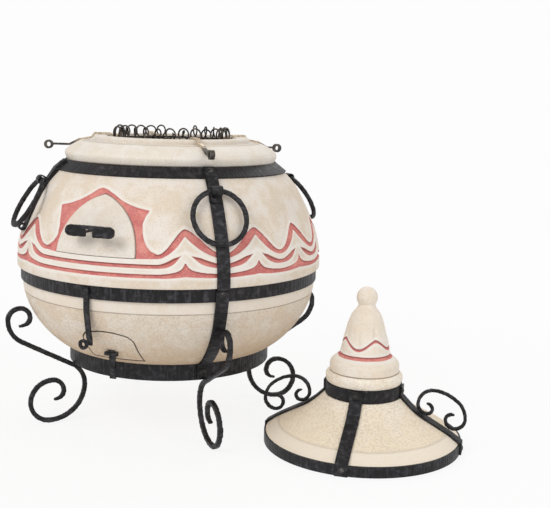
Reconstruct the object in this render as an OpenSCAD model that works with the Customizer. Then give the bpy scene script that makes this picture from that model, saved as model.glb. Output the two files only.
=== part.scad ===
// Clay tandoor oven in a forged iron cage on four scroll legs, with a skewer
// rack in its mouth, a pull-out arched door, a vent plug under a swing latch
// and its own clay lid, which stands on the floor beside the oven.
// Millimetres, +Z up. The oven's axis meets the floor at the origin.
// An azimuth of 0 looks to the front (-Y) and grows towards +X.

/* [Oven body] */
// Height of the seam between the bowl and the belly
seam_z = 375; // [360:1:390]
// Radius of the clay where the waist hoop lies
waist_r = 365; // [350:1:380]
// How far the smooth border above the waist hoop stands out
border_out = 13; // [8:1:20]
// Height of the top of that smooth border
border_top_z = 408; // [400:1:420]
// Radius of the belly where it meets the shoulder hoop
shoulder_r = 284; // [270:1:295]
// Height of the lower edge of the shoulder hoop
shoulder_z = 624.5; // [610:0.5:640]
// Thickness of the clay wall, measured level
wall = 46; // [38:1:54]
// Radius of the bowl at the top of the base hoop
bowl_foot_r = 252; // [240:1:265]
// Height of the bottom of the clay foot
foot_z = 153; // [151:1:160]
// Height of the top of the hearth that the grate lies on
hearth_z = 312; // [310:1:318]

/* [Mouth] */
// Radius of the mouth
mouth_r = 160; // [155:1:165]
// Width of the raised ring round the mouth
mouth_ring_w = 33; // [28:1:40]
// Height of the raised ring above the collar
mouth_ring_h = 11; // [8:1:16]
// Largest radius of the collar
collar_r = 262; // [260:1:268]
// Height of the collar's underside
collar_z = 651; // [650.5:0.5:656]
// Height of the collar
collar_h = 45; // [38:1:52]

/* [Iron cage] */
// Thickness of the hoops
hoop_t = 5; // [3:0.5:6]
// Width of the waist hoop
waist_hoop_w = 31; // [24:1:34]
// Width of the base hoop
base_hoop_w = 39; // [30:1:46]
// Thickness of the base hoop
base_hoop_t = 4; // [3:0.5:6]
// Width of the vertical straps
strap_w = 30; // [22:1:36]
// Thickness of the straps
strap_t = 4; // [3:0.5:5]
// Azimuth of the front strap; the others follow at quarter turns
cage_az = 24; // [20:0.5:30]
// Radius of the rivet shanks
rivet_r = 4; // [3:0.5:5]
// Height of the rivet heads
rivet_head = 2.6; // [1.5:0.1:4]

/* [Legs] */
// Side of the square bar of the legs
leg_bar = 12; // [10:0.5:14]
// How far outside the waist the straight run of a leg ends
leg_out = 11; // [7:1:20]
// Height of the end of that straight run
leg_end_z = 209; // [195:1:222]
// Radius of the bend under the base hoop
leg_knee_r = 60; // [56:1:64]

/* [Ring handles] */
// Outer diameter of the ring handles
ring_d = 138; // [110:1:144]
// Thickness of their round bar
ring_bar = 13; // [8:0.5:14]
// Width of the clip that holds a ring
clip_w = 26; // [16:1:28]
// Thickness of the clip
clip_t = 3; // [2:0.5:4]

/* [Arched door] */
// Azimuth of the middle of the door
door_az = -21.5; // [-25:0.5:-19]
// Width of the door at its foot
door_w = 202; // [180:1:210]
// Height of the door's foot
door_z = 456; // [450:1:462]
// Height of the door to its point
door_h = 133; // [120:1:138]
// Length of the forged door handle
door_grip_w = 122; // [110:1:136]
// How far the middle of the handle lies to the right of the door's middle
door_grip_side = 8; // [0:1:12]
// Free space between the handle and the door at its middle
door_grip_gap = 24; // [20:1:32]

/* [Vent] */
// Azimuth of the middle of the vent
vent_az = -19; // [-21:0.5:-17]
// Width of the vent opening
vent_w = 132; // [110:1:140]
// Height of the vent's foot
vent_z = 203; // [198:1:208]
// Height of the vent opening at its upper corners
vent_h = 66; // [56:1:68]
// Rise of its arched top above the corners
vent_rise = 14; // [6:1:15]
// Azimuth of the latch that keeps the plug shut
latch_az = -23.5; // [-25:0.5:-22]
// Width of the latch bar
latch_w = 13; // [10:0.5:16]
// Thickness of the latch bar
latch_t = 5; // [4:0.5:6]
// Distance from the latch's rivet down to its eye
latch_len = 124; // [118:1:130]

/* [Skewer rack] */
// How far the hoop and the middle of the curls lie inside the mouth's wall
rack_in = 25; // [24:1:28]
// Depth of the middle of its hoop below the top of the mouth ring
rack_drop = 7; // [5:0.5:9]
// Thickness of the hoop that carries the curls
rack_hoop_d = 5; // [4:0.5:6]
// Width of its four flat rods
rack_rod_w = 9; // [7:0.5:11]
// Thickness of the rods
rack_rod_t = 5; // [4:0.5:6]
// Radius of the curls to the middle of the wire
curl_r = 18; // [15:0.5:19]
// Width of the curls across the hoop, to the middle of the wire
curl_depth = 18; // [15:1:24]
// Thickness of the spring wire
curl_wire = 4; // [3:0.5:4]
// Curls in a full turn of the rack
curls = 28; // [24:4:32]
// Radius from the axis to the middle of the rods' end eyes
rack_eye_r = 287; // [280:1:300]
// The same for the left rod, which is a little longer
left_eye_r = 311; // [300:1:320]
// Azimuth of the left rod
left_rod_az = -92; // [-96:1:-88]

/* [Lid] */
// Distance of the lid's axis from the oven's, to the right
lid_x = 484.6; // [478:0.1:520]
// Distance of the lid's axis from the oven's, to the front
lid_y = -207; // [-230:1:-200]
// Outer radius of the lid's rim hoop
lid_r = 234.3; // [228:0.1:240]
// Height of the rim hoop
lid_rim_h = 25; // [20:1:28]
// Radius of the neck's clay inside its hoop
lid_neck_r = 86; // [82:1:90]
// Height of the lower edge of the neck hoop
lid_neck_z = 121; // [116:1:126]
// Height of the seam under the cap
lid_seam_z = 177; // [170:1:184]
// Radius of the smoke hole that the cap closes
lid_hole_r = 50; // [40:1:54]
// Radius of the ball on the cap
ball_r = 25; // [20:0.5:27]
// Height of the middle of the ball
ball_z = 353; // [345:1:360]
// Azimuth of the lid's front strap
lid_az = -15.6; // [-20:0.1:-10]
// Side of the square bar of the lid's two handles
scroll_bar = 9; // [7:0.5:10]

/* [Clearances] */
// Air between clay and iron that lie on each other
seat_gap = 0.3; // [0.2:0.05:0.5]
// Air round the door and the vent plug
door_gap = 1.6; // [1:0.1:3]
// Air round a rivet in its hole
rivet_gap = 0.05; // [0.02:0.01:0.1]

/* [Hidden] */
$fn = 72;

clay = "#e8ddcb";
sand = "#dcc7a8";
iron = "#2a2928";
steel = "#6d6560";

// ---- Clay outlines, as [radius, height] ----

// Level of the border's lower edge, which covers the top of the waist hoop
border_z = seam_z + waist_hoop_w / 2 + seat_gap;
waist_low_z = seam_z - waist_hoop_w / 2 - seat_gap;
belly_r = waist_r + border_out;
base_top_z = foot_z - 4 + base_hoop_w;
base_low_z = foot_z - 4;
base_r = bowl_foot_r + 0.5;
foot_r = base_r - base_hoop_t - seat_gap;

// Belly from the border up to the shoulder: share of the rise, share of the drop
belly_curve = [[0, 0], [0.13, 0.02], [0.25, 0.075], [0.37, 0.155], [0.5, 0.28], [0.65, 0.44],
    [0.78, 0.6], [0.89, 0.77], [1, 1]];
function belly_at(k) = [
    belly_r - (belly_r - shoulder_r) * k[1],
    border_top_z + (shoulder_z - border_top_z) * k[0]];
belly_pts = [for (k = belly_curve) belly_at(k)];
// Level radius of the belly at height z
function belly_rad(z) = lookup(z, [for (p = belly_pts) [p[1], p[0]]]);

// Bowl from the waist hoop down to the base hoop: a full, round curve
bowl_steps = 8;
function bowl_at(u) = [
    bowl_foot_r + (waist_r + 1 - bowl_foot_r) * pow(1 - pow(u, 1.9), 0.78),
    waist_low_z - (waist_low_z - base_top_z) * u];
bowl_pts = [for (i = [0:bowl_steps]) bowl_at(1 - pow(1 - i / bowl_steps, 1.5))];
// Level radius of the bowl at height z
function bowl_rad(z) = lookup(z, [for (i = [bowl_steps:-1:0]) [bowl_pts[i][1], bowl_pts[i][0]]]);

// Sloping seat of the shoulder hoop
neck_drop = [27.5, -21.5];
neck_pt = [shoulder_r, shoulder_z] - neck_drop;
slope_n = [-neck_drop[1], neck_drop[0]] / norm(neck_drop);
hoop_top = neck_pt + slope_n * hoop_t;
hoop_low = [shoulder_r, shoulder_z] + slope_n * hoop_t;

// Ash space under the hearth, and the oven space above it
hearth_t = 24;
grate_t = 12;
grate_r = mouth_r - 8;
mouth_ring_r = mouth_r + mouth_ring_w;
rack_r = mouth_r - rack_in;
ash_wall = 40;
ash_floor_z = vent_z - 10;

// ---- Shared shapes ----

module at_az(az) {
    rotate([0, 0, az]) children();
}

// Turns an outline into a ring body about Z
module turned(pts) {
    rotate_extrude() polygon(pts);
}

// Plate of width w, drawn in the upright plane [radius, height] that faces the front
module radial_plate(pts, w) {
    rotate([0, 0, -90])
        rotate([90, 0, 0])
            translate([0, 0, -w / 2])
                linear_extrude(w) polygon(pts);
}

// Solid prism that runs level to the front from the axis; outline as [across, height]
module front_prism(pts, depth) {
    rotate([90, 0, 0]) linear_extrude(depth) polygon(pts);
}

// Round bar or hole along the slanted direction [radius, height] dir, from point p
module radial_pin(p, dir, r, len) {
    translate([0, -p[0], p[1]])
        rotate([90 - atan2(dir[1], dir[0]), 0, 0])
            cylinder(r = r, h = len);
}

// Pin or hole of width w across the radial plane, at point p
module cross_pin(p, r, w) {
    translate([-w / 2, -p[0], p[1]]) rotate([0, 90, 0]) cylinder(r = r, h = w);
}

// Points of a line moved sideways by t, to the left of its run
function side_n(pts, i) = let (
    a = pts[max(i - 1, 0)],
    b = pts[min(i + 1, len(pts) - 1)],
    d = (b - a) / norm(b - a)) [-d[1], d[0]];
function moved(pts, t) = [for (i = [0:len(pts) - 1]) pts[i] + t * side_n(pts, i)];
function reversed(pts) = [for (i = [len(pts) - 1:-1:0]) pts[i]];
function band(pts, t) = concat(pts, reversed(moved(pts, t)));

// A forged bar's route: start point, heading, then arcs [turn, radius] and runs [0, length]
bar_step = 12;
function arc_pts(p, h, turn, r) = let (
    s = sign(turn),
    c = p + s * r * [-sin(h), cos(h)],
    n = max(2, ceil(abs(turn) / bar_step)))
    [for (i = [1:n]) let (a = h + turn * i / n) [c + s * r * [sin(a), -cos(a)], a]];
function run_pts(p, h, l) = [[p + l * [cos(h), sin(h)], h]];
function route(p, h, segs, i = 0) = i == len(segs) ? [] : let (
    pts = segs[i][0] == 0 ? run_pts(p, h, segs[i][1]) : arc_pts(p, h, segs[i][0], segs[i][1]),
    e = pts[len(pts) - 1])
    concat(pts, route(e[0], e[1], segs, i + 1));
// Half the bar's width, drawn out thin over the last few steps of either end
tip_steps = 5;
tip_share = 0.55;
function bar_half(i, n, bar) =
    bar / 2 * (tip_share + (1 - tip_share) * min(1, min(i, n - 1 - i) / tip_steps));
function bar_outline(r, bar) = let (n = len(r)) concat(
    [for (i = [0:n - 1]) r[i][0] + bar_half(i, n, bar) * [-sin(r[i][1]), cos(r[i][1])]],
    [for (i = [n - 1:-1:0]) r[i][0] - bar_half(i, n, bar) * [-sin(r[i][1]), cos(r[i][1])]]);
// The same route run from its far end back to its start
function back(r) = [for (i = [len(r) - 1:-1:0]) [r[i][0], r[i][1] + 180]];

// ---- Door and vent outlines ----

// Pointed arch: two arcs that rise upright from the foot; in makes it smaller all round
arch_r = (pow(door_w / 2, 2) + pow(door_h, 2)) / door_w;
arch_c = arch_r - door_w / 2;
arch_steps = 9;
function arch_side(in) = let (
    r = arch_r - in,
    a0 = asin(in / r),
    a1 = acos(arch_c / r))
    [for (i = [0:arch_steps]) let (a = a0 + (a1 - a0) * i / arch_steps)
        [r * cos(a) - arch_c, door_z + r * sin(a)]];
function arch(in) = concat(
    [for (p = arch_side(in)) p],
    [for (i = [arch_steps - 1:-1:0]) let (p = arch_side(in)[i]) [-p[0], p[1]]]);

// Vent outline: a low block with rounded upper corners and a slightly arched top
vent_corner = 12;
vent_arc_r = (pow(vent_w / 2, 2) + pow(vent_rise, 2)) / (2 * vent_rise);
function vent(in, lift) = let (
    b = vent_w / 2 - in,
    top = vent_z + vent_h - in,
    c = top + vent_rise - vent_arc_r)
    concat([[-b, vent_z + lift], [b, vent_z + lift], [b, top - vent_corner], [b - 4, top - 3]],
        [for (x = [b - 14:-(2 * b - 28) / 8:13.9 - b]) [x, c + sqrt(vent_arc_r * vent_arc_r - x * x)]],
        [[4 - b, top - 3], [-b, top - vent_corner]]);

// ---- Oven body ----

// Outer outline of the bowl, bottom to top
module bowl_shape() {
    turned(concat(
        [[0, foot_z], [foot_r, foot_z], [foot_r, base_top_z], [bowl_foot_r, base_top_z]],
        [for (i = [bowl_steps - 1:-1:0]) bowl_pts[i]],
        [[waist_r, waist_low_z], [waist_r, seam_z], [0, seam_z]]));
}

module ash_space() {
    low_r = bowl_rad(vent_z) - ash_wall;
    top_z = hearth_z - hearth_t;
    turned([[0, ash_floor_z], [low_r - 10, ash_floor_z], [low_r, vent_z + 4],
        [bowl_rad(top_z) - ash_wall - 6, top_z], [0, top_z]]);
}

module lower_bowl() {
    color(sand) difference() {
        bowl_shape();
        ash_space();
        // oven space above the hearth
        turned([[0, hearth_z], [bowl_rad(hearth_z) - wall - 8, hearth_z],
            [waist_r - wall, seam_z - 40], [waist_r - wall, seam_z + 1], [0, seam_z + 1]]);
        // hole in the hearth with a seat for the grate
        translate([0, 0, hearth_z - hearth_t - 1]) cylinder(r = grate_r - 14, h = hearth_t + 2);
        translate([0, 0, hearth_z - grate_t]) cylinder(r = grate_r + 2, h = grate_t + 1);
        at_az(vent_az) front_prism(vent(0, 0), waist_r + 20);
    }
}

// Solid between the belly's outside moved inwards by t0 and by t1
module belly_layer(t0, t1) {
    lo = [for (p = belly_pts) [p[0] - t1, p[1]]];
    hi = [for (p = belly_pts) [p[0] - t0, p[1]]];
    rise = [0, 30];
    turned(concat(
        [lo[0] - rise], [hi[0] - rise], hi,
        [lo[len(lo) - 1]], reversed(lo)));
}

module upper_belly() {
    n = len(belly_pts) - 1;
    color(clay) difference() {
        turned(concat(
            [[0, seam_z], [waist_r, seam_z], [waist_r, border_z], [belly_r - 2, border_z],
                [belly_r, border_z + 3]],
            belly_pts,
            [neck_pt, [neck_pt[0], collar_z], [0, collar_z]]));
        // oven space
        turned(concat(
            [[0, seam_z - 1], [waist_r - wall, seam_z - 1], [waist_r - wall, border_z]],
            [for (i = [0:n - 1]) [belly_pts[i][0] - wall, belly_pts[i][1]]],
            [[shoulder_r - wall - 16, shoulder_z], [mouth_r, collar_z - 8], [mouth_r, collar_z + 1],
                [0, collar_z + 1]]));
        // door opening: wide outside, narrow inside, with a ledge between
        at_az(door_az) front_prism(arch(door_step), belly_r + 10);
        intersection() {
            at_az(door_az) front_prism(arch(0), belly_r + 10);
            belly_layer(-20, door_ledge);
        }
    }
}

// Depth of the outer part of the door and width of its ledge
door_ledge = 20;
door_step = 8;

module arch_door() {
    color(clay) difference() {
        union() {
            intersection() {
                at_az(door_az) front_prism(arch_fit(0), belly_r + 10);
                belly_layer(0, door_ledge - 0.6);
            }
            intersection() {
                at_az(door_az) front_prism(arch_fit(door_step), belly_r + 10);
                belly_layer(0, wall);
            }
        }
        for (s = [-1, 1]) grip_stud_at(s, grip_stud_r + rivet_gap, door_ledge + 8);
    }
}
// Door outline: smaller than its opening by the air gap, and resting on its foot
function arch_fit(in) = [for (p = arch(in + door_gap))
    [p[0], max(p[1] - door_gap + seat_gap, door_z + in + seat_gap)]];

module neck_collar() {
    bulge_z = collar_z + 17;
    color(clay) turned([
        [mouth_r, collar_z], [neck_pt[0] + 2, collar_z],
        [collar_r - 2, collar_z + 4], [collar_r, bulge_z - 5], [collar_r - 1, bulge_z + 1],
        [collar_r - 8, collar_z + collar_h - 20],
        [(collar_r + mouth_ring_r) / 2 + 2, collar_z + collar_h - 5],
        [mouth_ring_r, collar_z + collar_h], [mouth_r, collar_z + collar_h]]);
}

mouth_z = collar_z + collar_h + mouth_ring_h;
module mouth_ring() {
    z = collar_z + collar_h;
    color(clay) turned([[mouth_r, z], [mouth_ring_r - 1, z], [mouth_ring_r, mouth_z - 4],
        [mouth_ring_r - 4, mouth_z], [mouth_r + 4, mouth_z], [mouth_r, mouth_z - 3]]);
}

// Cast grate on the hearth: a disc with rows of slots
module fire_grate() {
    slot_w = 14;
    pitch = 26;
    rows = floor((grate_r - 20) / pitch);
    color(steel) translate([0, 0, hearth_z - grate_t]) difference() {
        cylinder(r = grate_r, h = grate_t);
        for (i = [-rows:rows]) {
            half = sqrt(pow(grate_r - 14, 2) - pow(abs(i) * pitch + slot_w / 2, 2));
            for (s = [-1, 1])
                translate([s > 0 ? 6 : -half, i * pitch - slot_w / 2, -1])
                    cube([half - 6, slot_w, grate_t + 2]);
        }
    }
}

// ---- Iron cage ----

module base_hoop() {
    color(iron) difference() {
        translate([0, 0, base_low_z]) cylinder(r = base_r, h = base_hoop_w);
        translate([0, 0, base_low_z - 1]) cylinder(r = base_r - base_hoop_t, h = base_hoop_w + 2);
        for (az = [cage_az, cage_az + 180]) at_az(az) base_rivet_shank(rivet_gap);
    }
}

hoop_r = waist_r + hoop_t + seat_gap;
module waist_hoop() {
    color(iron) difference() {
        translate([0, 0, seam_z - waist_hoop_w / 2]) cylinder(r = hoop_r, h = waist_hoop_w);
        translate([0, 0, seam_z - waist_hoop_w]) cylinder(r = waist_r + seat_gap, h = 2 * waist_hoop_w);
        for (az = [cage_az, cage_az + 180]) at_az(az) waist_rivet_shank(rivet_gap);
        at_az(latch_az) radial_pin([waist_r - 5, seam_z], [1, 0], rivet_r + rivet_gap, 20);
    }
}

module shoulder_hoop() {
    n = slope_n * seat_gap;
    color(iron) difference() {
        turned([neck_pt + n, [shoulder_r, shoulder_z] + n, hoop_low, hoop_top]);
        for (az = [0, 90, 180, 270]) at_az(cage_az + az) shoulder_rivet_shank(rivet_gap);
    }
}

// Inner line of a strap from the shoulder hoop down the belly
strap_start = hoop_top + 6 * neck_drop / norm(neck_drop);
strap_belly = concat([strap_start + slope_n * 0.05, hoop_low + slope_n * 0.05],
    [for (i = [len(belly_pts) - 2:-1:0]) belly_pts[i] + [seat_gap, 0]]);
strap_waist = [
    [belly_r + seat_gap, border_z - 0.5],
    [hoop_r + 0.05, seam_z + 2.1 * rivet_r],
    [hoop_r + 0.05, waist_low_z]];
strap_bowl = concat(
    [for (i = [1:bowl_steps - 1]) bowl_pts[i] + [seat_gap, -seat_gap]],
    [[base_r + 3, base_top_z - 0.5], [base_r + 0.05, base_top_z - 5], [base_r + 0.05, base_low_z + 6]]);
strap_line = concat(strap_belly, strap_waist, strap_bowl);

module strap(az) {
    color(iron) at_az(az) difference() {
        radial_plate(band(strap_line, strap_t), strap_w);
        shoulder_rivet_shank(rivet_gap);
        waist_rivet_shank(rivet_gap);
        base_rivet_shank(rivet_gap);
    }
}
module strap_front() { strap(cage_az); }
module strap_rear() { strap(cage_az + 180); }

// Short strap at either side: ends in a rolled eye below the ring handle
hanger_end = belly_at([0.37, 0.155]) + [seat_gap, 0];
hanger_line = [for (p = strap_belly) if (p[1] > hanger_end[1] - 1) p];
eye_out = 9;
eye_pt = hanger_end + eye_out * side_n(hanger_line, len(hanger_line) - 1);
module hanger(az) {
    color(iron) at_az(az) difference() {
        union() {
            radial_plate(band(hanger_line, strap_t), strap_w);
            cross_pin(eye_pt, eye_out, strap_w);
        }
        cross_pin(eye_pt, eye_out - strap_t, strap_w + 2);
        shoulder_rivet_shank(rivet_gap);
    }
}
module hanger_right() { hanger(cage_az + 90); }
module hanger_left() { hanger(cage_az - 90); }

// ---- Ring handles and their clips ----

strap_face = moved(strap_belly, strap_t);
ring_r = (ring_d - ring_bar) / 2;
// The ring sags a little inside the clip's width, so the bore is that much wider
clip_bore = ring_bar / 2 + pow(clip_w / 2, 2) / (2 * ring_r) + 0.25;
clip_seat = strap_face[2];
clip_dir = (strap_face[3] - strap_face[2]) / norm(strap_face[3] - strap_face[2]);
clip_n = [-clip_dir[1], clip_dir[0]];
clip_drop = 9;
hinge_pt = clip_seat + clip_drop * clip_dir + (clip_t + clip_bore + 0.4) * clip_n;
clip_end = clip_seat + (clip_drop + 26) * clip_dir;

module clip(az) {
    block = clip_bore + 3;
    foot = hinge_pt - (clip_bore + 0.4 + clip_t / 2) * clip_n;
    color(iron) at_az(az) difference() {
        union() {
            radial_plate(band([strap_face[0], strap_face[1], clip_seat, clip_end], clip_t), clip_w);
            radial_plate([
                foot - block * clip_dir, foot + block * clip_dir,
                hinge_pt + block * clip_dir, hinge_pt - block * clip_dir], clip_w);
            cross_pin(hinge_pt, block, clip_w);
        }
        cross_pin(hinge_pt, clip_bore, clip_w + 2);
        shoulder_rivet_shank(rivet_gap);
    }
}
module clip_front() { clip(cage_az); }
module clip_right() { clip(cage_az + 90); }
module clip_rear() { clip(cage_az + 180); }
module clip_left() { clip(cage_az - 90); }

// Lean of a hanging ring: its foot just clears the strap's face
function face_rad(z) = lookup(z, [for (i = [len(strap_face) - 1:-1:0]) [strap_face[i][1], strap_face[i][0]]]);
function ring_lean(a, k) = k == 0 ? a : let (
    z = hinge_pt[1] - 2 * ring_r * cos(a),
    fall = (face_rad(z - 5) - face_rad(z + 5)) / 10,
    r = face_rad(z) + (ring_bar / 2 + seat_gap) * sqrt(1 + fall * fall))
    ring_lean(asin((r - hinge_pt[0]) / (2 * ring_r)), k - 1);
front_lean = ring_lean(28, 8);
// A side ring rests on the hanger's rolled eye and leans out further
eye_arm = eye_pt - hinge_pt;
ring_sag = pow(strap_w / 2, 2) / (2 * ring_r);
eye_reach = eye_out + ring_bar / 2 + ring_sag + seat_gap;
eye_turn = acos((pow(norm(eye_arm), 2) + 4 * ring_r * ring_r - eye_reach * eye_reach)
    / (4 * ring_r * norm(eye_arm)));
side_lean = atan2(eye_arm[0], -eye_arm[1]) + eye_turn;

module ring_handle(az, lean) {
    c = hinge_pt + ring_r * [sin(lean), -cos(lean)];
    color(iron) at_az(az)
        translate([0, -c[0], c[1]])
            rotate([90 - lean, 0, 0])
                rotate_extrude() translate([ring_r, 0]) circle(d = ring_bar);
}
module ring_front() { ring_handle(cage_az, front_lean); }
module ring_right() { ring_handle(cage_az + 90, side_lean); }
module ring_rear() { ring_handle(cage_az + 180, front_lean); }
module ring_left() { ring_handle(cage_az - 90, side_lean); }

// ---- Rivets ----

// A rivet: shank from p along dir, and a low round head on its outer end
module rivet(p, dir, len) {
    head_r = rivet_r * 1.9;
    ball = (head_r * head_r + rivet_head * rivet_head) / (2 * rivet_head);
    radial_pin(p, dir, rivet_r, len);
    translate([0, -p[0], p[1]]) rotate([90 - atan2(dir[1], dir[0]), 0, 0]) translate([0, 0, len])
        intersection() {
            translate([0, 0, rivet_head - ball]) sphere(r = ball);
            cylinder(r = head_r + 1, h = rivet_head + 1);
        }
}

shoulder_mid = ([shoulder_r, shoulder_z] + neck_pt) / 2 + slope_n * (seat_gap + 0.1);
shoulder_grip = hoop_t + strap_t + clip_t - seat_gap;
waist_grip = hoop_t + strap_t;
base_grip = base_hoop_t + strap_t;
base_mid_z = base_low_z + base_hoop_w / 2;
module shoulder_rivet_shank(g) { radial_pin(shoulder_mid - 2 * slope_n, slope_n, rivet_r + g, 30); }
module waist_rivet_shank(g) { radial_pin([waist_r - 2, seam_z], [1, 0], rivet_r + g, 30); }
module base_rivet_shank(g) { radial_pin([base_r - base_hoop_t - 2, base_mid_z], [1, 0], rivet_r + g, 30); }

module shoulder_rivets() {
    color(steel) for (k = [0:3]) at_az(cage_az + 90 * k) rivet(shoulder_mid, slope_n, shoulder_grip);
}
module waist_rivets() {
    color(steel) for (k = [0, 1]) at_az(cage_az + 180 * k)
        rivet([waist_r + seat_gap, seam_z], [1, 0], waist_grip + 0.1);
}
module base_rivets() {
    color(steel) for (k = [0, 1]) at_az(cage_az + 180 * k)
        rivet([base_r - base_hoop_t, base_mid_z], [1, 0], base_grip + 0.1);
}

// ---- Legs ----

leg_weld = [base_r, base_low_z];
leg_sink = 1;
// The straight run hangs under the base hoop's edge and aims at its end beyond the waist
leg_hang = leg_bar / 2 - leg_sink;
leg_aim = [waist_r + leg_out, leg_end_z] - leg_weld;
leg_slope = atan2(leg_aim[1], leg_aim[0]) + asin(leg_hang / norm(leg_aim));
leg_run = sqrt(pow(norm(leg_aim), 2) - pow(leg_hang, 2));
leg_start = leg_weld + leg_hang * [sin(leg_slope), -cos(leg_slope)];
leg_pad = 0.8;
leg_az = cage_az + 1;
// The big loop is as large as the floor allows
leg_loop_r = leg_start[1] - leg_knee_r * cos(leg_slope) - leg_bar / 2 + leg_pad;
leg_down = route(leg_start, leg_slope + 180, [
    [90 - leg_slope, leg_knee_r], [90, leg_loop_r], [90, 48], [90, 54], [90, 28], [80, 21], [0, 8]]);
leg_up = route(leg_start, leg_slope, [
    [0, leg_run], [90 - leg_slope, 62], [90, 29], [90, 24], [80, 19], [0, 12]]);
leg_route = concat(back(leg_up), leg_down);

module leg(az) {
    color(iron) at_az(az) difference() {
        radial_plate(bar_outline(leg_route, leg_bar), leg_bar);
        // flat underside of the foot
        translate([-leg_bar, -2 * waist_r, -leg_bar]) cube([2 * leg_bar, 2 * waist_r, leg_bar]);
        // seat of the base hoop
        translate([0, 0, base_low_z]) difference() {
            cylinder(r = base_r, h = base_hoop_w);
            translate([0, 0, -1]) cylinder(r = base_r - base_hoop_t - 12, h = base_hoop_w + 2);
        }
    }
}
module leg_front() { leg(leg_az); }
module leg_right() { leg(leg_az + 90); }
module leg_rear() { leg(leg_az + 180); }
module leg_left() { leg(leg_az - 90); }

// ---- Door grip ----

grip_stud_r = 4;
grip_bar_t = 12;
grip_h = 26;
grip_depth = 12;
grip_break = 13;
grip_z = door_z + door_h * 0.43;
grip_face = belly_rad(grip_z - 20) + door_grip_gap;
grip_stud_x = grip_break / 2 + 12;
grip_stud_z = grip_z - 3;

module grip_stud_at(s, r, deep) {
    at_az(door_az) translate([door_grip_side + s * grip_stud_x, -grip_face, grip_stud_z])
        rotate([-90, 0, 0]) cylinder(r = r, h = grip_face - belly_rad(grip_stud_z) + deep);
}

module stadium(w, h, t) {
    hull_w = w - h;
    rotate([90, 0, 0]) {
        for (s = [-1, 1]) translate([s * hull_w / 2, 0, 0]) cylinder(d = h, h = t);
        translate([-hull_w / 2, -h / 2, 0]) cube([hull_w, h, t]);
    }
}

// Flat forged bow whose two ends are turned back under it and closed, with a break
// between them at the middle
module door_grip() {
    color(iron) union() {
        at_az(door_az) translate([door_grip_side, -grip_face, grip_z]) difference() {
            stadium(door_grip_w, grip_h, grip_depth);
            translate([-grip_break / 2, -grip_depth - 1, -grip_h])
                cube([grip_break, grip_depth + 2, 1.5 * grip_h - grip_bar_t]);
        }
        for (s = [-1, 1]) grip_stud_at(s, grip_stud_r, door_ledge);
    }
}

// ---- Vent plug, its tab and the latch ----

plug_inner = bowl_rad(vent_z) - ash_wall - 6;

module vent_plug() {
    color(sand) difference() {
        intersection() {
            at_az(vent_az) front_prism(vent(door_gap, seat_gap), waist_r + 20);
            bowl_shape();
        }
        ash_space();
        at_az(vent_az) radial_pin([plug_inner, tab_z], [1, 0], rivet_r + rivet_gap, waist_r);
    }
}

tab_w = 15;
tab_t = 5;
tab_z = vent_z + 20;
tab_out = bowl_rad(tab_z) + 2;
tab_line = [
    [bowl_rad(tab_z + 9) + 1.5, tab_z + 9],
    [tab_out, tab_z + 2],
    [tab_out, tab_z - 10],
    [tab_out - 3, base_low_z + 14]];
// Iron tongue on the plug that hangs in front of the base hoop, with a cross bar to pull
module plug_tab() {
    color(iron) at_az(vent_az) {
        radial_plate(band(tab_line, tab_t), tab_w);
        radial_pin([plug_inner + 10, tab_z], [1, 0], rivet_r, bowl_rad(tab_z) + 8 - plug_inner - 10);
        translate([-16, -bowl_rad(tab_z) - 14, tab_z - 4]) cube([32, 8, 8]);
    }
}

latch_gap = 0.4;
latch_face = hoop_r + latch_gap;
// Set in at its foot by less than the hoop curves away over its length, so that it can swing
latch_foot = latch_face - 0.6 * pow(latch_len, 2) / (2 * hoop_r);
latch_eye_z = seam_z - latch_len;
latch_line = [
    [latch_face, seam_z + 0.85 * latch_w],
    [latch_face, seam_z - 0.35 * latch_len],
    [latch_foot + 3, latch_eye_z + 0.2 * latch_len],
    [latch_foot, latch_eye_z + 0.1 * latch_len],
    [latch_foot, latch_eye_z]];
latch_eye_x = -17;
latch_eye_r = 12;
module vent_latch() {
    color(iron) at_az(latch_az) difference() {
        union() {
            radial_plate(band(reversed(latch_line), -latch_t), latch_w);
            translate([latch_eye_x, 0, 0])
                radial_pin([latch_foot, latch_eye_z], [1, 0], latch_eye_r, latch_t);
        }
        translate([latch_eye_x, 0, 0])
            radial_pin([latch_foot - 9, latch_eye_z], [1, 0], latch_eye_r - 7, 30);
        radial_pin([latch_face - 2, seam_z], [1, 0], rivet_r + rivet_gap, 20);
    }
}
module latch_rivet() {
    color(steel) at_az(latch_az)
        rivet([waist_r + seat_gap, seam_z], [1, 0], hoop_t + latch_t + 2 * latch_gap);
}

// ---- Skewer rack ----

rod_z = mouth_z + seat_gap;
collar_top = mouth_z - mouth_ring_h;
rack_z = mouth_z - rack_drop;
rod_inner_z = rack_z + rack_hoop_d / 2 + 0.1;
rack_eye_z = collar_z + 28;
rod_eye_r = 11;

module rack_hoop() {
    color(steel) translate([0, 0, rack_z]) rotate_extrude() translate([rack_r, 0]) circle(d = rack_hoop_d);
}

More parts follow.
